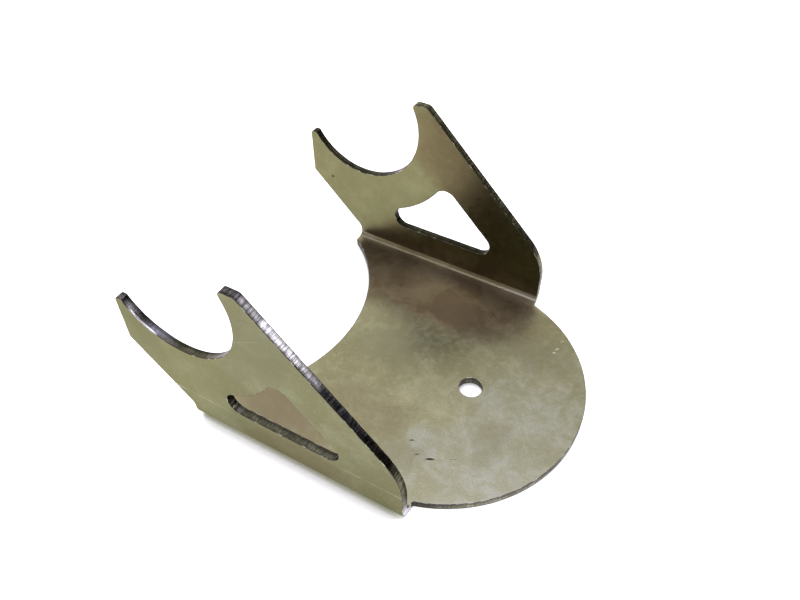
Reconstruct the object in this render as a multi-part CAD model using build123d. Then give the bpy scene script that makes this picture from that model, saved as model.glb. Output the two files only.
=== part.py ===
from build123d import *
import os
from math import pi, sqrt, tan

# Lower mount for an air spring on a tubular axle, cut from one steel sheet and
# folded twice. A round seat plate lies flat. An ear stands up along each side of
# it, with a saddle for the axle tube at its rear end and a window that lightens it.
#
# Millimetres. X runs along the folds, with the axle at -X, and +Z is up. The part
# is drawn about the centre of the seat's round edge, and placed at the end so that
# the centre of the bolt hole, on the underside, is the origin.

# Sheet and folds
sheet = 4.76                   # 3/16 in steel
inside_bend_radius = 3.2
fold_front_x = 24.8            # front end of the folds, and front edge of the ears
fold_rear_x = -105.3           # rear end of the folds

# Seat plate
seat_radius = 82.55            # round front edge
ear_clearance = 1.59           # from the round edge to the inside face of each ear
seat_corner_radius = 1.6       # inside corner between the round edge and a fold
bolt_hole_diameter = 13.5      # clearance for a 1/2 in bolt
bolt_hole_offset = 19.05       # forward of the centre of the round edge
rear_hollow_depth = 40.8       # of the hollow rear edge, ahead of the rear end of the folds
rear_land = 3.44               # straight edge from the hollow to the start of a fold

# Saddles for the axle tube
saddle_radius = 39.69          # 3 1/8 in tube
saddle_x = -102.2
saddle_z = 96.9

# Outline of the ears
long_prong_web = 6.5           # thinnest metal between the saddle and the slanted edge
long_prong_height = 117.0
long_prong_outer_radius = 4.0
long_prong_inner_radius = 2.4
short_prong_height = 76.8
short_prong_land = 4.1         # width of the flat tip
short_prong_outer_radius = 2.0
short_prong_inner_radius = 1.0
ear_front_radius = 38.1        # large round between the front and slanted edges
heel_radius = 1.5              # below the rear edge, where it turns in at 45 degrees
ankle_rise = 3.75              # from a fold to the lower end of that 45 degree edge
ankle_radius = 7.0

# Windows in the ears
saddle_web = 24.8              # from the saddle to the window
slant_web = 25.2               # from the slanted edge to the window
fold_web = 16.44               # from a fold to the level lower edge of the window
window_corner_radius = 7.6

# What follows from them
outside_bend_radius = inside_bend_radius + sheet
ear_inside_y = seat_radius + ear_clearance
ear_outside_y = ear_inside_y + sheet
fold_y = ear_inside_y - inside_bend_radius
diagonal = sqrt(2)
slant_sum = saddle_x + saddle_z + (saddle_radius + long_prong_web) * diagonal
ankle_z = outside_bend_radius + ankle_rise


def rounded(outline, x, y, radius):
    """The outline with the corner that lies nearest to a point rounded."""
    point = Vector(x, y)
    corners = outline.vertices()
    return fillet(min(corners, key=lambda corner: (Vector(corner.X, corner.Y) - point).length), radius)


def seat_outline():
    """Round plate with a straight strip to the folds and a hollow rear edge."""
    strip = Pos(fold_front_x, 0) * Rectangle(
        fold_front_x - fold_rear_x, 2 * fold_y, align=(Align.MAX, Align.CENTER)
    )
    hollow_half_width = fold_y - rear_land
    hollow_radius = (hollow_half_width**2 + rear_hollow_depth**2) / (2 * rear_hollow_depth)
    hollow = Pos(fold_rear_x + rear_hollow_depth - hollow_radius, 0) * Circle(hollow_radius)
    outline = Circle(seat_radius) + strip - hollow
    corner_y = sqrt(seat_radius**2 - fold_front_x**2)
    for side in (1, -1):
        outline = rounded(outline, fold_front_x, side * corner_y, seat_corner_radius)
    return outline - Pos(bolt_hole_offset, 0) * Circle(bolt_hole_diameter / 2)


def window_outline():
    """Three-sided window: a level lower edge, a slanted edge, and an arc about the saddle."""
    floor_z = outside_bend_radius + fold_web + window_corner_radius
    inner_slant_sum = slant_sum - (slant_web + window_corner_radius) * diagonal
    core = Polygon(
        (saddle_x, floor_z),
        (inner_slant_sum - floor_z, floor_z),
        (saddle_x, inner_slant_sum - saddle_x),
        align=None,
    )
    core -= Pos(saddle_x, saddle_z) * Circle(saddle_radius + saddle_web + window_corner_radius)
    return offset(core, amount=window_corner_radius, kind=Kind.ARC)


def ear_outline():
    """Side view of an ear above its fold, drawn with the sketch's Y axis as height."""
    long_reach = sqrt(saddle_radius**2 - (long_prong_height - saddle_z) ** 2)
    short_reach = sqrt(saddle_radius**2 - (saddle_z - short_prong_height) ** 2)
    rear_x = saddle_x - short_reach - short_prong_land
    heel_z = ankle_z + fold_rear_x - rear_x
    blank = Polygon(
        (fold_rear_x, outside_bend_radius),
        (fold_front_x, outside_bend_radius),
        (fold_front_x, slant_sum - fold_front_x),
        (slant_sum - long_prong_height, long_prong_height),
        (saddle_x, long_prong_height),
        (saddle_x, short_prong_height),
        (rear_x, short_prong_height),
        (rear_x, heel_z),
        (fold_rear_x, ankle_z),
        align=None,
    )
    outline = blank - Pos(saddle_x, saddle_z) * Circle(saddle_radius)
    rounds = (
        (fold_front_x, slant_sum - fold_front_x, ear_front_radius),
        (slant_sum - long_prong_height, long_prong_height, long_prong_outer_radius),
        (saddle_x + long_reach, long_prong_height, long_prong_inner_radius),
        (saddle_x - short_reach, short_prong_height, short_prong_inner_radius),
        (rear_x, short_prong_height, short_prong_outer_radius),
        (rear_x, heel_z, heel_radius),
        (fold_rear_x, ankle_z, min(ankle_radius, 0.95 * ankle_rise / tan(pi / 8))),
    )
    for x, z, radius in rounds:
        outline = rounded(outline, x, z, radius)
    return outline - window_outline()


def fold_section():
    """Quarter ring that joins the seat to an ear, drawn across the fold at +Y."""
    ring = Circle(outside_bend_radius) - Circle(inside_bend_radius)
    quarter = Rectangle(outside_bend_radius, outside_bend_radius, align=(Align.MIN, Align.MAX))
    return Pos(fold_y, outside_bend_radius) * (ring & quarter)


def bracket():
    """The folded sheet as one solid, with the bolt hole's centre at the origin."""
    seat = extrude(seat_outline(), sheet)
    side_view = Plane(origin=(0, ear_outside_y, 0), x_dir=(1, 0, 0), z_dir=(0, -1, 0))
    ear = extrude(side_view * ear_outline(), sheet)
    cross_section = Plane(origin=(fold_rear_x, 0, 0), x_dir=(0, 1, 0), z_dir=(1, 0, 0))
    fold = extrude(cross_section * fold_section(), fold_front_x - fold_rear_x)
    flank = ear + fold
    folded = (seat + flank + mirror(flank, about=Plane.XZ)).clean()
    return Pos(-bolt_hole_offset, 0, 0) * folded


os.makedirs("parts", exist_ok=True)
export_step(bracket(), "parts/bracket.step")
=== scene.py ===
"""A laser-cut and folded steel axle mount bracket on a white table."""

import math
from typing import NamedTuple

import bpy
import numpy as np
from mathutils import Matrix, Vector, geometry


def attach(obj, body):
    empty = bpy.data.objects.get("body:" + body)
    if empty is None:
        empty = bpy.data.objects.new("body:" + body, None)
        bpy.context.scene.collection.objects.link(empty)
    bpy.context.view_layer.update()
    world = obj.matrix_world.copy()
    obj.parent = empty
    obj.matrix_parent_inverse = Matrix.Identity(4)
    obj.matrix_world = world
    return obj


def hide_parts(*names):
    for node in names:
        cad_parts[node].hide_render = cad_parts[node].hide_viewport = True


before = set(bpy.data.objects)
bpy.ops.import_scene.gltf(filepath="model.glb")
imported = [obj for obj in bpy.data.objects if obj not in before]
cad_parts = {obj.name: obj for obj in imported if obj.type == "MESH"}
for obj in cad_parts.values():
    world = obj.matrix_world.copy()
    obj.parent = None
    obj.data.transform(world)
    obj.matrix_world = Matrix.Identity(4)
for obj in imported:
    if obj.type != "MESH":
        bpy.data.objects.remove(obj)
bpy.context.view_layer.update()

# ---------------------------------------------------------------- sizes, mm
# The sheet is drawn flat and folded as its mesh is made. X runs along the folds from the centre
# of the seat's round edge. The second coordinate, called across, is Y on the seat, and then
# follows the sheet round a fold and up an ear. Depth runs through the sheet, from 0 on its
# outside: the underside and the ears' outer faces.
MM = 0.001

# Sheet and folds
SHEET = 4.76
INSIDE_BEND = 3.2
BEND_NEUTRAL = 0.4              # share of the sheet, from inside a fold, that keeps its length
FRONT_X = 24.8                  # front end of the folds, and front edge of the ears
REAR_X = -105.3                 # rear end of the folds

# Seat
SEAT_RADIUS = 82.55
EAR_CLEARANCE = 1.59            # from the round edge to the inside face of each ear
SEAT_CORNER = 1.6               # inside corner between the round edge and a fold
HOLE_X = 19.05
HOLE_RADIUS = 6.75
HOLLOW_DEPTH = 40.8             # of the hollow rear edge, ahead of the folds' rear end
HOLLOW_LAND = 3.44              # straight edge from the hollow to a fold

# Outline of the ears
SADDLE = Vector((-102.2, 96.9))
SADDLE_RADIUS = 39.69
LONG_WEB = 6.5                  # thinnest metal between the saddle and the slanted edge
LONG_TOP = 117.0
SHORT_TOP = 76.8
SHORT_LAND = 4.1                # width of the short prong's flat tip
ANKLE_RISE = 3.75               # from a fold to the 45 degree edge below the short prong
FRONT_ROUND = 38.1
LONG_OUTER_ROUND = 4.0
LONG_INNER_ROUND = 2.4
SHORT_OUTER_ROUND = 2.0
SHORT_INNER_ROUND = 1.0
HEEL_ROUND = 1.5
ANKLE_ROUND = 7.0

# Windows in the ears
SADDLE_WEB = 24.8
SLANT_WEB = 25.2
FOLD_WEB = 16.44
WINDOW_CORNER = 7.6

# What follows from them
OUTSIDE_BEND = INSIDE_BEND + SHEET
FOLD_Y = SEAT_RADIUS + EAR_CLEARANCE - INSIDE_BEND
FOLD_LENGTH = (INSIDE_BEND + BEND_NEUTRAL * SHEET) * math.pi / 2
FOLD_END = FOLD_Y + FOLD_LENGTH
HOLLOW_HALF = FOLD_Y - HOLLOW_LAND
HOLLOW_RADIUS = (HOLLOW_HALF**2 + HOLLOW_DEPTH**2) / (2 * HOLLOW_DEPTH)
HOLLOW_X = REAR_X + HOLLOW_DEPTH - HOLLOW_RADIUS
SLANT = SADDLE.x + SADDLE.y + (SADDLE_RADIUS + LONG_WEB) * math.sqrt(2)
EAR_REAR = SADDLE.x - math.sqrt(SADDLE_RADIUS**2 - (SADDLE.y - SHORT_TOP) ** 2) - SHORT_LAND
ANKLE_Z = OUTSIDE_BEND + ANKLE_RISE
WINDOW_FLOOR = OUTSIDE_BEND + FOLD_WEB
WINDOW_ARC = SADDLE_RADIUS + SADDLE_WEB
WINDOW_SLANT = SLANT - SLANT_WEB * math.sqrt(2)

# Cut edge
CORNER_ROUND = 0.28             # of the two corners of the cut edge, before it varies
LEAST_ROUND = 0.15
MOST_ROUND = 0.7
ROUND_VARIES = 0.18
ROUND_PITCH = 6.0               # length of the slow changes of the corner round
NICK_PITCH = 2.2
NICK_FROM = 2.0                 # height of the noise that starts a nick
NICK_DEPTH = 0.5                # for each step of height past that
RIDGE_PITCH = 0.75              # of the ridges that the laser leaves through the sheet
RIDGE_START = 0.003             # their height at the top face
RIDGE_GROWTH = 0.011            # and what they gain on the way to the underside
RIDGE_LAG = 0.9                 # how far they trail at the underside
WALL_INSET = 0.03               # how far the wall stands back from the outline

# Mesh
STEP = 0.42                     # longest step along an outline
LARGEST_TURN = math.radians(9)  # largest turn of an arc in one step
FEWEST_ARC_STEPS = 6
FOLD_STEPS = 16
ROUND_ROWS = 3
WALL_ROWS = 6
SAME_PLACE = 1e-4               # places closer than this are one
NO_AREA = 1e-9                  # doubled area at which a triangle is empty
OUTER = 700                     # how much further along X the UVs of the outside lie
FACE_FINISH, CUT_FINISH = 0, 1

rng = np.random.default_rng(7)


# ---------------------------------------------------------------- flat pattern
class Arc(NamedTuple):
    """An arc of an outline: its centre and radius in mm, its start and turn in radians."""

    x: float
    y: float
    radius: float
    start: float
    turn: float

    def at(self, angle):
        return Vector((self.x + self.radius * math.cos(angle), self.y + self.radius * math.sin(angle)))


def corner_arc(before, corner, after, radius):
    """The arc that rounds the corner between two straight edges."""
    corner = Vector(corner)
    back = (Vector(before) - corner).normalized()
    onward = (Vector(after) - corner).normalized()
    half = back.angle(onward) / 2
    centre = corner + (back + onward).normalized() * radius / math.sin(half)
    start = corner + back * radius / math.tan(half) - centre
    end = corner + onward * radius / math.tan(half) - centre
    first = math.atan2(start.y, start.x)
    turn = math.remainder(math.atan2(end.y, end.x) - first, 2 * math.pi)
    return Arc(centre.x, centre.y, radius, first, turn)


def laid_flat(arcs):
    """Arcs of an ear's side view, moved to where the ear lies in the flat pattern."""
    return [arc._replace(y=arc.y + FOLD_END - OUTSIDE_BEND) for arc in arcs]


def ear_arcs():
    """Arcs of the ear's outline, from its front edge round to its rear edge."""
    front = (FRONT_X, SLANT - FRONT_X)
    long_tip = (SLANT - LONG_TOP, LONG_TOP)
    short_tip = (EAR_REAR, SHORT_TOP)
    heel = (EAR_REAR, ANKLE_Z + REAR_X - EAR_REAR)
    ankle = (REAR_X, ANKLE_Z)
    quarter = math.pi / 2

    long_z = LONG_TOP - LONG_INNER_ROUND
    long_reach = SADDLE_RADIUS + LONG_INNER_ROUND
    long_angle = math.asin((long_z - SADDLE.y) / long_reach)
    long_x = SADDLE.x + long_reach * math.cos(long_angle)

    short_z = SHORT_TOP - SHORT_INNER_ROUND
    short_reach = SADDLE_RADIUS + SHORT_INNER_ROUND
    short_angle = math.asin((SADDLE.y - short_z) / short_reach)
    short_x = SADDLE.x - short_reach * math.cos(short_angle)

    return laid_flat([
        corner_arc((FRONT_X, 0), front, long_tip, FRONT_ROUND),
        corner_arc(front, long_tip, (SADDLE.x, LONG_TOP), LONG_OUTER_ROUND),
        Arc(long_x, long_z, LONG_INNER_ROUND, quarter, quarter + long_angle),
        Arc(SADDLE.x, SADDLE.y, SADDLE_RADIUS, long_angle, short_angle - long_angle - math.pi),
        Arc(short_x, short_z, SHORT_INNER_ROUND, short_angle, quarter - short_angle),
        corner_arc((SADDLE.x, SHORT_TOP), short_tip, heel, SHORT_OUTER_ROUND),
        corner_arc(short_tip, heel, ankle, HEEL_ROUND),
        corner_arc(heel, ankle, (REAR_X, 0), ANKLE_ROUND),
    ])


def window_arcs():
    """Arcs of the ear's window: the arc about the saddle, then the top, front and rear corners."""
    corners_z = WINDOW_FLOOR + WINDOW_CORNER
    corners_slant = WINDOW_SLANT - WINDOW_CORNER * math.sqrt(2)
    reach = WINDOW_ARC + WINDOW_CORNER
    low = math.asin((SADDLE.y - corners_z) / reach)
    high = math.acos((corners_slant - SADDLE.x - SADDLE.y) / math.sqrt(2) / reach) - math.pi / 4
    top = SADDLE + reach * Vector((math.cos(high), -math.sin(high)))
    rear_x = SADDLE.x + reach * math.cos(low)
    front_x = corners_slant - corners_z
    return laid_flat([
        Arc(SADDLE.x, SADDLE.y, WINDOW_ARC, -low, low - high),
        Arc(top.x, top.y, WINDOW_CORNER, math.pi - high, high - 0.75 * math.pi),
        Arc(front_x, corners_z, WINDOW_CORNER, math.pi / 4, -0.75 * math.pi),
        Arc(rear_x, corners_z, WINDOW_CORNER, -math.pi / 2, -math.pi / 2 - low),
    ])


def mirrored(items):
    """The same arcs and points on the other side, travelled the other way."""
    other_side = []
    for item in reversed(items):
        if isinstance(item, Arc):
            other_side.append(item._replace(y=-item.y, start=-item.start - item.turn))
        else:
            x, across = item
            other_side.append((x, -across))
    return other_side


def outer_outline():
    """The whole outline: the round seat, one side, the hollow rear edge and the other side."""
    reach = SEAT_RADIUS + SEAT_CORNER
    front = math.acos((FRONT_X + SEAT_CORNER) / reach)
    seat = Arc(0, 0, SEAT_RADIUS, -front, 2 * front)
    corner_across = reach * math.sin(front)
    side = [
        Arc(FRONT_X + SEAT_CORNER, corner_across, SEAT_CORNER, math.pi + front, -front),
        (FRONT_X, FOLD_Y),
        (FRONT_X, FOLD_END),
        *ear_arcs(),
        (REAR_X, FOLD_END),
        (REAR_X, FOLD_Y),
        (REAR_X, HOLLOW_HALF),
    ]
    half = math.asin(HOLLOW_HALF / HOLLOW_RADIUS)
    hollow = Arc(HOLLOW_X, 0, HOLLOW_RADIUS, half, -2 * half)
    return [seat, *side, hollow, *mirrored(side)]


def ends(item):
    """Where an arc or a point of an outline starts and ends."""
    if isinstance(item, Arc):
        return item.at(item.start), item.at(item.start + item.turn)
    return Vector(item), Vector(item)


def arc_run(arc):
    """Points along an arc, with the normals that point away from the metal."""
    turn = abs(arc.turn)
    count = max(FEWEST_ARC_STEPS, math.ceil(turn * arc.radius / STEP), math.ceil(turn / LARGEST_TURN))
    angles = arc.start + arc.turn * np.arange(count + 1) / count
    radial = np.stack([np.cos(angles), np.sin(angles)], 1)
    return np.array([arc.x, arc.y]) + arc.radius * radial, radial * math.copysign(1, arc.turn)


def straight_run(start, end):
    """Points along a straight edge, with the normals that point away from the metal."""
    way = end - start
    low, high = sorted((abs(start.y), abs(end.y)))
    round_fold = low >= FOLD_Y - SAME_PLACE and high <= FOLD_END + SAME_PLACE
    count = FOLD_STEPS if round_fold else max(1, math.ceil(way.length / STEP))
    points = np.array(start) + np.arange(count + 1)[:, None] / count * np.array(way)
    normal = np.array([way.y, -way.x]) / way.length
    return points, np.repeat(normal[None], count + 1, 0)


def sampled(items):
    """Points and outward normals along a closed outline, with the metal on its left.

    The normal at a joint of two runs is longer than one, so that an inset keeps its width there.
    """
    runs = []
    for item, following in zip(items, items[1:] + items[:1]):
        if isinstance(item, Arc):
            runs.append(arc_run(item))
        start, end = ends(item)[1], ends(following)[0]
        if (end - start).length > SAME_PLACE:
            runs.append(straight_run(start, end))
    points, normals = [], []
    for (_, previous), (run, outward) in zip(runs[-1:] + runs[:-1], runs):
        joint = (previous[-1] + outward[0]) / (1 + previous[-1] @ outward[0])
        points.append(run[:-1])
        normals.append(np.concatenate([joint[None], outward[1:-1]]))
    return np.concatenate(points), np.concatenate(normals)


# ---------------------------------------------------------------- folding
def fold_turn(across):
    """How far the sheet has turned round its fold, in radians, at places across it."""
    return np.clip((np.abs(across) - FOLD_Y) / FOLD_LENGTH, 0, 1) * math.pi / 2


def folded(x, across, depth):
    """Where points of the flat pattern lie once the sheet is folded, from the bolt hole."""
    turn = fold_turn(across)
    radius = OUTSIDE_BEND - depth
    y = np.minimum(np.abs(across), FOLD_Y) + radius * np.sin(turn)
    z = OUTSIDE_BEND - radius * np.cos(turn) + np.maximum(np.abs(across) - FOLD_END, 0)
    return np.stack([x - HOLE_X, np.sign(across) * y, z], -1)


def folded_direction(across, along_x, along_across, along_depth):
    """Which way directions in the flat pattern point once the sheet is folded."""
    turn = fold_turn(across)
    side = np.sign(across)
    out = along_across * side
    y = out * np.cos(turn) - along_depth * np.sin(turn)
    z = out * np.sin(turn) + along_depth * np.cos(turn)
    return np.stack([along_x, side * y, z], -1)


# ---------------------------------------------------------------- cut edge
def random_heights(length, pitch):
    """Random heights about a closed run, spaced by about a given pitch."""
    return rng.normal(size=max(4, round(length / pitch)))


def read_heights(heights, place, length):
    """Heights read at places along the closed run, eased from each to the next."""
    count = len(heights)
    position = place / length * count
    knot = np.floor(position).astype(int)
    part = position - knot
    part = part * part * (3 - 2 * part)
    return heights[knot % count] * (1 - part) + heights[(knot + 1) % count] * part


# How far the normal of each row of the cut edge leans, from straight up to straight down.
ROUND_LEANS = [math.pi / 2 * row / ROUND_ROWS for row in range(ROUND_ROWS + 1)]
LEANS = ROUND_LEANS + [math.pi / 2] * WALL_ROWS + [math.pi - lean for lean in reversed(ROUND_LEANS)]


def edge_rows(place, length):
    """Insets and depths of the cut edge's rows at places along it, from the top face down."""
    ridges = random_heights(length, RIDGE_PITCH)
    waves = random_heights(length, ROUND_PITCH)
    nicks = random_heights(length, NICK_PITCH)
    nicks = np.where(nicks > NICK_FROM, nicks - NICK_FROM, 0) * NICK_DEPTH
    rounding = CORNER_ROUND * (1 + ROUND_VARIES * read_heights(waves, place, length))
    rounding = np.clip(rounding + read_heights(nicks, place, length), LEAST_ROUND, MOST_ROUND)
    corner = [(rounding * (1 - math.sin(lean)), rounding * (1 - math.cos(lean))) for lean in ROUND_LEANS]
    wall = []
    for row in range(1, WALL_ROWS + 1):
        level = 1 - row / (WALL_ROWS + 1)
        trailing = place + RIDGE_LAG * (1 - level) ** 2
        ridge = (RIDGE_START + RIDGE_GROWTH * (1 - level)) * read_heights(ridges, trailing, length)
        fade = min(1.0, 3 * min(level, 1 - level))
        wall.append(((ridge + WALL_INSET) * fade, np.full_like(place, SHEET * level)))
    top = [(inset, SHEET - drop) for inset, drop in corner]
    insets, depths = zip(*top, *wall, *reversed(corner))
    return np.array(insets), np.array(depths)


def edge_normals(places, across, outward):
    """Normals of the cut edge: exact on its rounded corners, and from the ridges on its wall."""
    around = np.roll(places, -1, 1) - np.roll(places, 1, 1)
    normals = np.cross(np.gradient(places, axis=0), around)
    for row, lean in enumerate(LEANS):
        if ROUND_ROWS < row < len(LEANS) - ROUND_ROWS - 1:
            continue
        out = outward * math.sin(lean)
        through = np.full(len(outward), math.cos(lean))
        normals[row] = folded_direction(across[row], out[:, 0], out[:, 1], through)
    return normals / np.linalg.norm(normals, axis=-1, keepdims=True)


# ---------------------------------------------------------------- mesh
class SheetMesh:
    """The folded sheet's vertices, normals and faces, with each face's finish and UVs in mm.

    A flat face's UVs are its place in the pattern. A cut edge's are the place along it and the
    depth. The flat faces reuse the rims of the cut edges, which are added first.
    """

    def __init__(self):
        self.vertices, self.normals = [], []
        self.faces, self.finishes, self.uvs = [], [], []
        self.flat = {}
        self.rims = {1: [], -1: []}

    def add_edge(self, outline):
        """The cut edge along an outline."""
        points, outward = sampled(outline)
        steps = np.linalg.norm(np.roll(points, -1, 0) - points, axis=1)
        place = np.concatenate([[0], np.cumsum(steps)[:-1]])
        length = steps.sum()
        insets, depths = edge_rows(place, length)
        x = points[:, 0] - insets * outward[:, 0]
        across = points[:, 1] - insets * outward[:, 1]
        places = folded(x, across, depths)
        rows, count = insets.shape
        ids = len(self.vertices) + np.arange(rows * count).reshape(rows, count)
        self.vertices.extend(places.reshape(-1, 3))
        self.normals.extend(edge_normals(places, across, outward).reshape(-1, 3))
        for row in range(rows - 1):
            for i in range(count):
                j = (i + 1) % count
                start, end = place[i], place[j] if j else length
                corners = ((row, i, start), (row + 1, i, start), (row + 1, j, end), (row, j, end))
                self.faces.append(tuple(int(ids[r, k]) for r, k, _ in corners))
                self.uvs.append(tuple((along, depths[r, k]) for r, k, along in corners))
                self.finishes.append(CUT_FINISH)
        for up, row in ((1, 0), (-1, -1)):
            rim = ids[row].tolist()
            self.rims[up].append(rim)
            self.flat.update(zip(rim, zip(x[row].tolist(), across[row].tolist())))

    def add_triangle(self, corners, up):
        """A triangle of a flat face, turned to face the right way and left out if it is empty."""
        a, b, c = corners
        (ax, ay), (bx, by), (cx, cy) = (self.flat[corner] for corner in corners)
        doubled_area = (bx - ax) * (cy - ay) - (cx - ax) * (by - ay)
        if abs(doubled_area) < NO_AREA:
            return
        if (doubled_area > 0) != (up > 0):
            b, c = c, b
        shift = 0 if up > 0 else OUTER
        self.faces.append((a, b, c))
        self.uvs.append(tuple((self.flat[k][0] + shift, self.flat[k][1]) for k in (a, b, c)))
        self.finishes.append(FACE_FINISH)

    def fill(self, ring, opening, up):
        """Triangles over a flat stretch of the pattern with one opening in it."""
        polygons = [[Vector((*self.flat[corner], 0)) for corner in loop] for loop in (ring, opening)]
        corners = ring + opening
        for triangle in geometry.tessellate_polygon(polygons):
            self.add_triangle([corners[k] for k in triangle], up)

    def add_face(self, up):
        """The top face, where up is 1, or the underside, where it is -1, on seat, ears and folds."""
        outer, left_window, right_window, hole = self.rims[up]
        seat = [k for k in outer if abs(self.flat[k][1]) <= FOLD_Y + SAME_PLACE]
        self.fill(seat, hole, up)
        for side, window in ((1, left_window), (-1, right_window)):
            out = {k: side * self.flat[k][1] for k in outer}
            ear = [k for k in outer if out[k] >= FOLD_END - SAME_PLACE]
            self.fill(ear, window, up)
            fold = [k for k in outer if FOLD_Y - SAME_PLACE <= out[k] <= FOLD_END + SAME_PLACE]
            fold.sort(key=out.get)
            front = [k for k in fold if self.flat[k][0] > 0]
            rear = [k for k in fold if self.flat[k][0] < 0]
            for a, b, c, d in zip(front, front[1:], rear, rear[1:]):
                self.add_triangle((a, b, c), up)
                self.add_triangle((c, b, d), up)

    def made(self, name):
        """The mesh in Blender, in metres, with its own normals."""
        mesh = bpy.data.meshes.new(name)
        mesh.from_pydata((np.array(self.vertices) * MM).tolist(), [], self.faces)
        mesh.update()
        layer = mesh.uv_layers.new(name="sheet")
        corner_uvs = np.array([corner for face in self.uvs for corner in face], dtype=np.float32) * MM
        layer.data.foreach_set("uv", corner_uvs.ravel())
        mesh.polygons.foreach_set("material_index", self.finishes)
        mesh.polygons.foreach_set("use_smooth", [True] * len(self.faces))
        loop_vertices = np.zeros(len(mesh.loops), dtype=np.int64)
        mesh.loops.foreach_get("vertex_index", loop_vertices)
        mesh.normals_split_custom_set(np.array(self.normals)[loop_vertices].tolist())
        return mesh


sheet = SheetMesh()
sheet.add_edge(outer_outline())
sheet.add_edge(window_arcs())
sheet.add_edge(mirrored(window_arcs()))
sheet.add_edge([Arc(HOLE_X, 0, HOLE_RADIUS, 2 * math.pi, -2 * math.pi)])
sheet.add_face(1)
sheet.add_face(-1)
bracket = bpy.data.objects.new("folded_sheet", sheet.made("folded_sheet"))
bpy.context.collection.objects.link(bracket)


# ---------------------------------------------------------------- node trees
class Graph:
    """A node tree built by calls, most of which return an output of the node that they add."""

    def __init__(self, owner):
        owner.use_nodes = True
        self.owner = owner
        self.tree = owner.node_tree
        self.tree.nodes.clear()

    def add(self, kind, **settings):
        made = self.tree.nodes.new("ShaderNode" + kind)
        for name, value in settings.items():
            setattr(made, name, value)
        return made

    def feed(self, socket, value):
        if isinstance(value, bpy.types.NodeSocket):
            self.tree.links.new(value, socket)
        else:
            socket.default_value = value

    def math(self, operation, a, b=0.0):
        made = self.add("Math", operation=operation)
        self.feed(made.inputs[0], a)
        self.feed(made.inputs[1], b)
        return made.outputs[0]

    def product(self, first, *others):
        for other in others:
            first = self.math("MULTIPLY", first, other)
        return first

    def rest(self, share):
        return self.math("SUBTRACT", 1.0, share)

    def vector(self, operation, a, b=(0, 0, 0)):
        made = self.add("VectorMath", operation=operation)
        self.feed(made.inputs[0], a)
        self.feed(made.inputs["Scale" if operation == "SCALE" else 1], b)
        return made.outputs["Value" if operation in ("DOT_PRODUCT", "LENGTH") else "Vector"]

    def split(self, vector):
        made = self.add("SeparateXYZ")
        self.feed(made.inputs[0], vector)
        return made.outputs

    def turned(self, vector, angle):
        made = self.add("VectorRotate", rotation_type="Z_AXIS")
        self.feed(made.inputs["Vector"], vector)
        self.feed(made.inputs["Angle"], angle)
        return made.outputs[0]

    def noise(self, place, scale, detail, roughness, output="Fac"):
        made = self.add("TexNoise")
        self.feed(made.inputs["Vector"], place)
        self.feed(made.inputs["Scale"], scale)
        self.feed(made.inputs["Detail"], detail)
        self.feed(made.inputs["Roughness"], roughness)
        return made.outputs[output]

    def mix(self, factor, a, b):
        made = self.add("Mix", data_type="RGBA")
        for socket, value in zip((made.inputs[0], made.inputs[6], made.inputs[7]), (factor, a, b)):
            self.feed(socket, (*value, 1) if isinstance(value, tuple) else value)
        return made.outputs[2]

    def bump(self, height, distance):
        made = self.add("Bump")
        self.feed(made.inputs["Height"], height)
        self.feed(made.inputs["Distance"], distance)
        return made.outputs[0]

    def ease(self, value, low, high, at_low=0.0, at_high=1.0):
        """A number that changes smoothly as the value goes from low to high."""
        made = self.add("MapRange", interpolation_type="SMOOTHSTEP")
        for socket, number in zip(made.inputs, (value, low, high, at_low, at_high)):
            self.feed(socket, number)
        return made.outputs[0]

    def fade(self, value, low, high):
        """One up to low, and none from high on."""
        return self.ease(value, low, high, 1.0, 0.0)

    def between(self, factor, low, high):
        """The number a given share of the way from low to high."""
        span = self.math("SUBTRACT", high, low)
        return self.math("ADD", low, self.math("MULTIPLY", factor, span))

    def steps(self, value, start, rows):
        """A number that changes in a few eased steps: where each starts and ends, and its change."""
        total = start
        for low, high, change in rows:
            total = self.math("ADD", total, self.ease(value, low, high, 0.0, change))
        return total

    def spot(self, place, x, across, length, width, degrees, softness):
        """One inside an ellipse on the sheet, in mm, falling to none across its soft edge."""
        away = self.vector("SUBTRACT", place, (x * MM, across * MM, 0))
        turned = self.turned(away, -math.radians(degrees))
        scaled = self.vector("MULTIPLY", turned, (1 / length / MM, 1 / width / MM, 0))
        return self.fade(self.vector("LENGTH", scaled), 1 - softness, 1 + softness)

    def spots(self, place, rows, softness):
        """Several such ellipses together, each at its own strength, and no more than one."""
        total = 0.0
        for *where, strength in rows:
            part = self.math("MULTIPLY", self.spot(place, *where, softness), strength)
            total = self.math("ADD", part, total)
        return self.math("MINIMUM", total, 1.0)


def finish(name):
    """A material's graph, its shader and the place on the sheet in metres."""
    graph = Graph(bpy.data.materials.new(name))
    shader = graph.add("BsdfPrincipled")
    graph.feed(graph.add("OutputMaterial").inputs[0], shader.outputs[0])
    return graph, shader, graph.add("UVMap", uv_map="sheet").outputs[0]


# ---------------------------------------------------------------- mill finish
# Noise: how many features to the metre, detail, roughness.
DRIFT = (45, 4, 0.5)
CLOUD = (26, 4, 0.55)
RUST = (42, 5, 0.6)
MOTTLE = (105, 4, 0.6)
WEAR = (260, 5, 0.7)
GRAIN = (1300, 2, 0.6)
BREAKS = (70, 4, 0.65)
SCRATCH = (1, 2, 0.5)
SCRATCH_STRETCH = (18, 1500, 1)  # features to the metre along the scratches and across them
SCRATCH_ANGLE = 0.5
DRIFT_REACH = 0.03
RUST_SHIFT = (3.1, 1.7, 0)       # keeps the rust's noise apart from the clouds'

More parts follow.
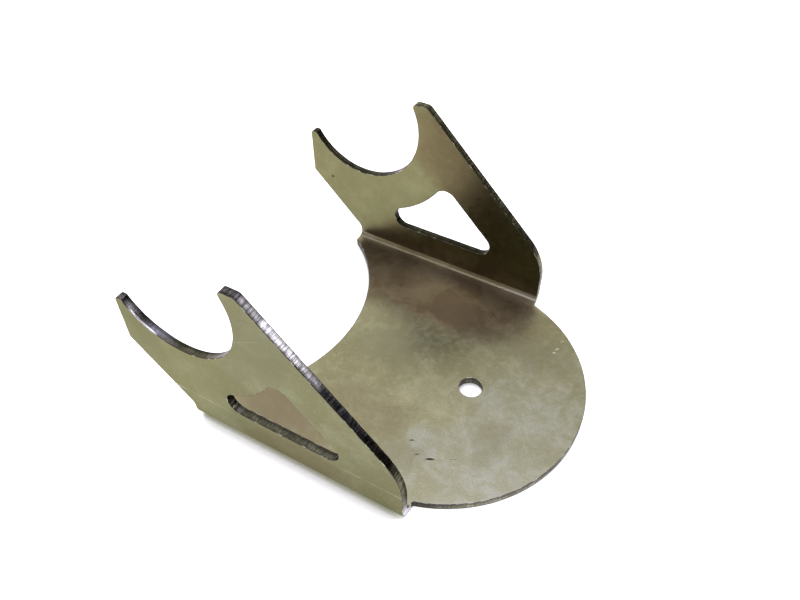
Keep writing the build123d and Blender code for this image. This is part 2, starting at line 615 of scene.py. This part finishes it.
OLIVE = (0.197, 0.193, 0.103)
PALE_OLIVE = (0.28, 0.278, 0.168)
SILVER = (0.282, 0.29, 0.228)
RUST_TINT = (0.236, 0.212, 0.118)
MOTTLED = (0.2, 0.192, 0.106)
WORN = (0.34, 0.335, 0.24)
PORES = (0.15, 0.14, 0.08)
DULL = (0.16, 0.153, 0.092)
OIL = (0.148, 0.12, 0.072)
HEAT_AND_REFLECTION_BROWN = (0.2, 0.16, 0.088)
HEAT_AND_REFLECTION_DARK = (0.135, 0.1, 0.052)
SCORCHED_AND_REFLECTED = (0.1, 0.072, 0.04)
# Painted highlight along the inside of the far fold
FOLD_HIGHLIGHT = (0.43, 0.37, 0.22)
BARE = (0.46, 0.45, 0.36)
GOUGED = (0.03, 0.025, 0.018)
INSIDE_TINT = (1, 1, 1)
LEFT_INSIDE_TINT = (1, 1, 0.84)
OUTSIDE_TINT = (1, 1.03, 1.08)
FACE_GLINT = (0.6, 0.58, 0.45, 1)

# Places on the sheet in mm: x, across, half length, half width, turn in degrees, strength.
# Heat stains and scorches near the far fold: brown stains with the far ear's dark reflection painted into
# them
HEAT_STAINS_AND_EAR_REFLECTION = (
    (-35, 68, 66, 38, 0, 1.0),
)
SCORCHES_AND_EAR_REFLECTION = (
    (-13, 47, 24, 11, -10, 0.6),
    (-55, 66, 17, 9, 0, 0.4),
    (12, 64, 14, 8, 0, 0.15),
)
OIL_STAINS = (
    (-66, -66, 33, 15, 0, 0.75),
    (-33, 164, 24, 42, 40, 1.0),
    (-80, 93, 26, 9, 0, 0.6),
    (-30, 92, 58, 13, 0, 0.8),
    (OUTER - 38, -93, 30, 13, 0, 0.55),
    (-30, -44, 34, 16, 10, 0.35),
)
# Silvery clouds on the front of the seat, partly the metal's tone and partly a painted reflection of the
# bright sky
SILVER_CLOUDS_AND_SKY_REFLECTION = (
    (58, -16, 34, 62, 0, 0.9),
    (36, 6, 13, 12, 0, 0.5),
    (30, -56, 34, 22, 15, 0.9),
    (15, -43, 12, 9, 0, 0.7),
)
DULL_CLOUDS = (
    (45, -29, 8, 12, 0, 0.4),
    (OUTER - 55, -166, 20, 34, 30, 0.55),
    (OUTER - 130, -143, 16, 30, -15, 0.6),
    (-95, 131, 48, 50, 0, 0.5),
    (36, 44, 24, 14, -20, 0.6),
    (-34, 6, 22, 15, 30, 0.6),
    (7, -58, 14, 9, 10, 0.5),
)
GOUGES = (
    (7.1, -47.3, 1.4, 0.5, 30, 0.8),
    (13.6, -53.6, 1.2, 0.45, 30, 0.7),
    (21.0, -52.9, 2.3, 0.65, 25, 1.0),
    (32.0, -47.0, 2.2, 0.3, 30, 0.4),
    (-126.2, 127.0, 1.0, 1.0, 0, 0.8),
)
SCUFFS_AND_FOLD_HIGHLIGHTS = (
    (51.0, 47.4, 0.9, 0.6, 20, 0.8),
    (51.5, 51.0, 1.2, 0.6, 60, 0.7),
    (52.0, 58.0, 1.5, 0.3, 60, 0.5),
    # These two are painted highlights in the far fold, near its front and rear ends
    (15.0, 84.0, 14.0, 3.0, 0, 0.45),
    (-99.0, 84.0, 6.0, 3.0, 0, 0.3),
)
SHOULDER_MARK = 103.2            # across the sheet, of the faint line above each fold
SHOULDER_MIDDLE = OUTER - 40     # where that line is faintest


def fold_highlight_band(graph, x, across, cloud, outside):
    """How far the inside of the left fold takes a painted highlight: a pale band along it that widens
    towards the front.
    """
    start = graph.math("ADD", across, graph.ease(x, -10, 22, 0, 4))
    sides = graph.product(graph.ease(start, 75, 83), graph.fade(graph.math("ABSOLUTE", across), 87, 88.3))
    return graph.product(sides, graph.ease(cloud, 0.35, 0.65, 0.5, 0.95), graph.rest(outside))


def shoulder_line(graph, place, x, across, outside):
    """The thin broken line along each fold's outer face, faintest about its middle."""
    height = graph.math("ABSOLUTE", across)
    off = graph.math("ABSOLUTE", graph.math("SUBTRACT", height, SHOULDER_MARK))
    line = graph.product(outside, graph.fade(off, 0.15, 0.55))
    broken = graph.ease(graph.noise(place, *BREAKS), 0.42, 0.6, 0.15, 0.9)
    from_middle = graph.math("ABSOLUTE", graph.math("SUBTRACT", x, SHOULDER_MIDDLE))
    return graph.product(line, broken, graph.ease(from_middle, 25, 55, 0.25, 1))


def mill_finish():
    """Rolled mild steel: olive clouds, silvery clouds partly painted with the sky's reflection, brown
    stains with the far ear's reflection painted in, a painted highlight along the far fold, fine grain,
    scratches and a few gouges.
    """
    graph, shader, place = finish("mill_finish")
    x, across, _ = graph.split(graph.vector("SCALE", place, 1 / MM))
    outside = graph.math("GREATER_THAN", x, OUTER / 2)
    drift = graph.vector("SUBTRACT", graph.noise(place, *DRIFT, output="Color"), (0.5, 0.5, 0.5))
    loose = graph.vector("ADD", place, graph.vector("SCALE", drift, DRIFT_REACH))
    cloud = graph.noise(loose, *CLOUD)
    rust = graph.noise(graph.vector("ADD", loose, RUST_SHIFT), *RUST)
    mottle = graph.noise(loose, *MOTTLE)
    worn = graph.noise(place, *WEAR)
    grain = graph.noise(place, *GRAIN)

    # The metal itself, from its broad clouds down to its pores; the silvery clouds on the front of the
    # seat are partly its tone and partly a painted sky reflection
    colour = graph.mix(graph.ease(cloud, 0.38, 0.62), OLIVE, PALE_OLIVE)
    silver_and_sky_reflection = graph.product(graph.spots(loose, SILVER_CLOUDS_AND_SKY_REFLECTION, 0.5), graph.ease(cloud, 0.35, 0.6, 0.45, 1))
    colour = graph.mix(silver_and_sky_reflection, colour, SILVER)
    colour = graph.mix(graph.ease(rust, 0.5, 0.72, 0, 0.5), colour, RUST_TINT)
    colour = graph.mix(graph.ease(mottle, 0.42, 0.62, 0.45, 0), colour, MOTTLED)
    colour = graph.mix(graph.ease(worn, 0.48, 0.72, 0, 0.45), colour, WORN)
    colour = graph.mix(graph.ease(grain, 0.3, 0.7, 0.45, 0), colour, PORES)

    # Stains on it, with the far ear's dark reflection painted into the heat stains and scorches near the
    # far fold, and a painted highlight along the far fold
    heat_and_reflection = graph.spots(loose, HEAT_STAINS_AND_EAR_REFLECTION, 0.3)
    # stretched is the painted highlight band along the inside of the far fold
    stretched = fold_highlight_band(graph, x, across, cloud, outside)
    colour = graph.mix(graph.spots(loose, DULL_CLOUDS, 0.5), colour, DULL)
    colour = graph.mix(graph.spots(loose, OIL_STAINS, 0.4), colour, OIL)
    colour = graph.mix(heat_and_reflection, colour, graph.mix(graph.ease(rust, 0.4, 0.6), HEAT_AND_REFLECTION_BROWN, HEAT_AND_REFLECTION_DARK))
    colour = graph.mix(graph.spots(loose, SCORCHES_AND_EAR_REFLECTION, 0.6), colour, SCORCHED_AND_REFLECTED)
    colour = graph.mix(stretched, colour, FOLD_HIGHLIGHT)

    # Scratches, the line above each fold, scuffs, painted highlights at the ends of the far fold, and
    # gouges
    streaks = graph.vector("MULTIPLY", graph.turned(place, SCRATCH_ANGLE), SCRATCH_STRETCH)
    streaks = graph.ease(graph.noise(streaks, *SCRATCH), 0.69, 0.76)
    scratches = graph.product(streaks, graph.ease(rust, 0.4, 0.6), 0.25)
    bare = graph.math("ADD", shoulder_line(graph, place, x, across, outside), scratches)
    bare = graph.math("MINIMUM", graph.math("ADD", bare, graph.spots(place, SCUFFS_AND_FOLD_HIGHLIGHTS, 0.5)), 1.0)
    gouge = graph.spots(place, GOUGES, 0.4)
    colour = graph.mix(gouge, graph.mix(bare, colour, BARE), GOUGED)

    left_ear = graph.ease(across, 90, 100)
    inside_tint = graph.mix(left_ear, INSIDE_TINT, LEFT_INSIDE_TINT)
    inside_colour = graph.vector("MULTIPLY", colour, inside_tint)
    outside_colour = graph.vector("MULTIPLY", colour, OUTSIDE_TINT)
    graph.feed(shader.inputs["Base Color"], graph.mix(outside, inside_colour, outside_colour))

    # Less metallic and rougher under the stains, their painted reflection and the painted fold highlight
    stain_and_painted_light = graph.math("MAXIMUM", graph.product(heat_and_reflection, 0.5), stretched)
    graph.feed(shader.inputs["Metallic"], graph.rest(graph.product(stain_and_painted_light, 0.7)))
    roughness = graph.math("ADD", graph.ease(worn, 0.3, 0.7, 0.27, 0.36), graph.product(stain_and_painted_light, 0.1))
    graph.feed(shader.inputs["Roughness"], roughness)
    shader.inputs["Specular Tint"].default_value = FACE_GLINT
    relief = graph.math("ADD", graph.product(grain, 0.25), graph.product(worn, 0.6))
    relief = graph.math("SUBTRACT", relief, graph.product(gouge, 3.0))
    relief = graph.math("SUBTRACT", relief, graph.product(bare, 0.3))
    graph.feed(shader.inputs["Normal"], graph.bump(relief, 0.03 * MM))
    return graph.owner


# ---------------------------------------------------------------- laser cut
CUT_STRETCH = (1, 0.12, 1)       # draws the noise of the cut edge out through the sheet
CUT_STREAKS = (2100, 2, 0.6)
CUT_RIBS = (850, 1, 0.5)
CUT_PATCHES = (130, 3, 0.6)
CORNER_WEAR = (190, 4, 0.6)

OXIDE = (0.066, 0.0645, 0.036)
PALE_OXIDE = (0.13, 0.127, 0.08)
VIOLET_TINT = (1, 0.975, 1.65)
# Painted white highlight on the right ear's cut edge at its front foot
FOOT_HIGHLIGHT_WHITE = (0.95, 0.95, 0.95)
BURNT_RIM = (0.022, 0.02, 0.016)
CORNER_METAL = (0.5, 0.49, 0.4)
GLEAM = (0.8, 0.8, 0.85)
CUT_GLINT = (0.6, 0.58, 0.6, 1)

# How much lighter the cut edge grows along x from the bolt hole, in mm: start, end, change.
SLANT_STEPS = (
    (-76.5, -75.5, 0.5),
    (-66, -63.5, 1.3),
    (-50.5, -46, -1.1),
    (-39.5, -35.5, -1.3),
)
SADDLE_STEPS = (
    (-137, -127, -0.3),
    (-108, -96, 1.3),
)
RIM_STEPS = (
    (12, 36, 2.2),
    (50, 78, -2.4),
)


class CutPlaces(NamedTuple):
    """Shares of the cut edge by place, each one there and none elsewhere."""

    right: bpy.types.NodeSocket    # the right ear, as against the left
    slant: bpy.types.NodeSocket    # the slanted edges
    seat: bpy.types.NodeSocket     # the edge of the seat
    front: bpy.types.NodeSocket    # in front of the bolt hole


def cut_places(graph, x, y, z):
    """Those shares, at places given in mm from the bolt hole."""
    slant = graph.ease(graph.math("ADD", x, z), 30, 34)
    seat = graph.product(graph.fade(z, 4, 6), graph.fade(graph.math("ABSOLUTE", y), 79.5, 81))
    return CutPlaces(graph.fade(y, -50, -30), slant, seat, graph.ease(x, -1, 6))


def cut_lightness(graph, places, x, z, stretched):
    """How light the cut edge is along the outline, where plain oxide is one."""
    high = graph.product(graph.ease(z, 45, 55, 0.38, 1), graph.steps(x, 1.0, SADDLE_STEPS))
    right = graph.between(places.slant, high, graph.steps(x, 0.8, SLANT_STEPS))
    right = graph.math("ADD", right, graph.product(places.front, graph.ease(z, 4, 14, 3.5, 2.0)))
    left = graph.between(places.slant, graph.ease(z, 45, 55, 0.3, 0.42), 1.1)
    left = graph.math("ADD", left, graph.product(places.front, 2.2))
    lightness = graph.between(places.right, left, right)
    ribs = graph.ease(graph.noise(stretched, *CUT_RIBS), 0.4, 0.6, 0.55, 1.25)
    lightness = graph.between(places.slant, lightness, graph.product(lightness, ribs))
    return graph.between(places.seat, lightness, graph.steps(x, 1.2, RIM_STEPS))


def cut_bands(graph, places, x, depth):
    """How the lightness changes through the sheet, with bands of its own on the right slant."""
    plain = graph.ease(depth, 2.0, 3.6, 1, 0.5)
    rear = graph.fade(x, -40, -34)
    outer_band = graph.between(rear, 1.0, graph.ease(depth, 0.8, 2.0, 0.5, 1))
    inner_front = graph.ease(depth, 2.9, 3.9, 1, 2.5)
    inner_rear = graph.ease(depth, 2.6, 3.8, 1, 0.62)
    banded = graph.product(outer_band, graph.between(rear, inner_front, inner_rear))
    where = graph.product(places.slant, places.right, graph.fade(x, -2, 1.2))
    return graph.between(where, plain, banded)


def laser_cut():
    """The cut edge: dark oxide, lighter streaks through the sheet, lighter and darker stretches by place,
    worn places, and a painted white highlight at the right ear's front foot.
    """
    graph, shader, place = finish("laser_cut")
    depth = graph.split(graph.vector("SCALE", place, 1 / MM))[1]
    from_hole = graph.add("TexCoord").outputs["Object"]
    x, y, z = graph.split(graph.vector("SCALE", from_hole, 1 / MM))
    places = cut_places(graph, x, y, z)
    stretched = graph.vector("MULTIPLY", place, CUT_STRETCH)
    streaks = graph.noise(stretched, *CUT_STREAKS)
    patches = graph.noise(place, *CUT_PATCHES)

    # The oxide, tinted violet on the right ear's slant and saddle
    lighter = graph.ease(graph.math("ADD", streaks, graph.product(patches, 0.35)), 0.6, 0.85)
    colour = graph.mix(lighter, OXIDE, PALE_OXIDE)
    violet = graph.math("MAXIMUM", places.slant, graph.ease(x, -135, -125, 1, 0.3))
    violet = graph.product(violet, places.right, graph.fade(x, -20, 0))
    violet = graph.math("MAXIMUM", violet, graph.product(places.seat, 0.3))
    colour = graph.mix(violet, colour, graph.vector("MULTIPLY", colour, VIOLET_TINT))

    # Lighter and darker stretches and bands of it, and a painted white highlight at the right ear's front
    # foot
    lightness = graph.product(
        cut_lightness(graph, places, x, z, stretched),
        cut_bands(graph, places, x, depth),
        graph.ease(patches, 0.35, 0.65, 0.8, 1.2),
    )
    colour = graph.vector("SCALE", colour, lightness)
    # A painted white highlight on the cut edge at the front foot of the right ear
    foot_highlight = graph.product(places.front, places.right, graph.fade(z, 4, 14), graph.rest(places.seat))
    colour = graph.mix(foot_highlight, colour, FOOT_HIGHLIGHT_WHITE)

    # Burnt rims beside the faces, worn corners, and a gleam on the short prong's saddle
    from_middle = graph.math("ABSOLUTE", graph.math("SUBTRACT", depth, SHEET / 2))
    colour = graph.mix(graph.ease(from_middle, 1.6, 2.15, 0, 0.8), colour, BURNT_RIM)
    wear = graph.ease(graph.noise(place, *CORNER_WEAR), 0.5, 0.62, 0.1, 1.0)
    colour = graph.mix(graph.product(graph.ease(from_middle, 2.08, 2.2), wear), colour, CORNER_METAL)
    along_saddle = graph.product(graph.ease(x, -152.5, -148.5), graph.fade(x, -141, -136))
    gleam = graph.product(along_saddle, graph.fade(depth, 0.5, 1.1), places.right, graph.ease(z, 55, 60))
    graph.feed(shader.inputs["Base Color"], graph.mix(gleam, colour, GLEAM))

    shader.inputs["Metallic"].default_value = 1.0
    graph.feed(shader.inputs["Roughness"], graph.ease(streaks, 0.3, 0.7, 0.18, 0.28))
    shader.inputs["Specular Tint"].default_value = CUT_GLINT
    graph.feed(shader.inputs["Normal"], graph.bump(streaks, 0.02 * MM))
    return graph.owner


bracket.data.materials.append(mill_finish())
bracket.data.materials.append(laser_cut())
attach(bracket, "root")
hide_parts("bracket")

# ---------------------------------------------------------------- table
TABLE_SIZE = 8
TABLE_DROP = 0.02 * MM           # keeps the table just clear of the seat's underside
TABLE_GREY = (0.85, 0.85, 0.85, 1)
TABLE_WHITE = (1, 1, 1)
SHADOW_COLOUR = (0.13, 0.135, 0.085)
SHADOW_REACH = 25 * MM
REFLECTED_FROM = (-110 * MM, -120 * MM, 0)  # where the table's reflection is brightest


def white_table():
    """White, with a shadow only close to the part, and dimmer in the metal's reflections."""
    graph = Graph(bpy.data.materials.new("white_table"))
    path = graph.add("LightPath")
    place = graph.add("TexCoord").outputs["Object"]
    nearby = graph.add("AmbientOcclusion", samples=8)
    nearby.inputs["Distance"].default_value = SHADOW_REACH
    lit = graph.ease(nearby.outputs["AO"], 0.42, 0.7)
    lit = graph.math("MAXIMUM", lit, graph.product(path.outputs["Is Glossy Ray"], 0.6))
    ahead = graph.ease(graph.split(place)[0], -4 * MM, 12 * MM, 0, 0.8)
    lit = graph.math("MAXIMUM", lit, ahead)
    away = graph.vector("LENGTH", graph.vector("SUBTRACT", place, REFLECTED_FROM))
    reflected = graph.ease(away, 50 * MM, 170 * MM, 0.9, 0.68)
    reflected = graph.product(path.outputs["Is Glossy Ray"], reflected)
    glow = graph.add("Emission")
    graph.feed(glow.inputs["Color"], graph.mix(lit, SHADOW_COLOUR, TABLE_WHITE))
    graph.feed(glow.inputs["Strength"], graph.math("MAXIMUM", path.outputs["Is Camera Ray"], reflected))
    diffuse = graph.add("BsdfDiffuse")
    diffuse.inputs["Color"].default_value = TABLE_GREY
    both = graph.add("AddShader")
    graph.feed(both.inputs[0], diffuse.outputs[0])
    graph.feed(both.inputs[1], glow.outputs[0])
    graph.feed(graph.add("OutputMaterial").inputs[0], both.outputs[0])
    return graph.owner


bpy.ops.mesh.primitive_plane_add(size=TABLE_SIZE, location=(0, 0, -TABLE_DROP))
floor = bpy.context.object
floor.name = "table"
floor.data.materials.append(white_table())

# ---------------------------------------------------------------- light of the room
# Lights at a great distance: direction, the angle from it in degrees inside which a light is
# full, the angle past which there is none, and colour.
SKY = (
    ((0.0, 0.0, 1.0), 179.0, 180.0, (0.06, 0.045, 0.04)),
    ((-0.3, 0.75, 0.62), 30.0, 72.0, (1.0, 0.97, 0.93)),
    ((-0.8, 0.4, 0.25), 15.0, 60.0, (0.7, 0.7, 0.7)),
    ((0.05, 0.08, 1.0), 20.0, 31.0, (1.9, 1.9, 2.75)),
    ((0.0, -0.15, 1.0), 25.0, 38.0, (0.3, 0.28, 0.27)),
    ((-0.7, -0.7, 0.2), 12.0, 32.0, (0.4, 0.39, 0.36)),
    ((0.0, -1.0, 0.2), 12.0, 32.0, (0.4, 0.39, 0.36)),
    ((0.7, -0.7, 0.2), 12.0, 32.0, (0.4, 0.39, 0.36)),
    ((0.733, 0.485, 0.477), 4.0, 6.5, (10.0, 10.0, 11.0)),
)
BACKDROP_WHITE = (1, 1, 1)


def light_room():
    """A world that holds those lights and looks white to the camera."""
    graph = Graph(bpy.data.worlds.new("studio"))
    towards = graph.add("TexCoord").outputs["Generated"]
    total = (0, 0, 0)
    for direction, inner, outer, colour in SKY:
        facing = graph.vector("DOT_PRODUCT", towards, Vector(direction).normalized())
        level = graph.ease(facing, math.cos(math.radians(outer)), math.cos(math.radians(inner)))
        total = graph.vector("ADD", graph.vector("SCALE", colour, level), total)
    background = graph.add("Background")
    seen = graph.add("LightPath").outputs["Is Camera Ray"]
    graph.feed(background.inputs["Color"], graph.mix(seen, total, BACKDROP_WHITE))
    graph.feed(graph.add("OutputWorld").inputs[0], background.outputs[0])
    bpy.context.scene.world = graph.owner


light_room()

# ---------------------------------------------------------------- camera
AZIMUTH, ELEVATION, ROLL = -0.5168, 0.7953, -0.0009
EYE = Vector((109.31 - HOLE_X, -239.91, 333.84)) * MM
SENSOR_WIDTH = 36
PICTURE_WIDTH = 800              # pixels
FOCAL_LENGTH = 725.88            # in the same pixels


def add_camera():
    """A camera at the eye, turned by the three angles from looking level along Y."""
    level_look = Vector((math.sin(AZIMUTH), math.cos(AZIMUTH), 0))
    look = math.cos(ELEVATION) * level_look - math.sin(ELEVATION) * Vector((0, 0, 1))
    level_right = Vector((math.cos(AZIMUTH), -math.sin(AZIMUTH), 0))
    level_up = level_right.cross(look)
    right = math.cos(ROLL) * level_right + math.sin(ROLL) * level_up
    up = -math.sin(ROLL) * level_right + math.cos(ROLL) * level_up
    camera = bpy.data.objects.new("camera", bpy.data.cameras.new("camera"))
    bpy.context.collection.objects.link(camera)
    camera.data.sensor_width = SENSOR_WIDTH
    camera.data.lens = SENSOR_WIDTH * FOCAL_LENGTH / PICTURE_WIDTH
    camera.data.clip_start = 0.01
    turned = Matrix((right, up, -look)).transposed().to_4x4()
    camera.matrix_world = Matrix.Translation(EYE) @ turned
    return camera


bpy.context.scene.camera = add_camera()
bpy.context.scene.view_settings.view_transform = "Standard"
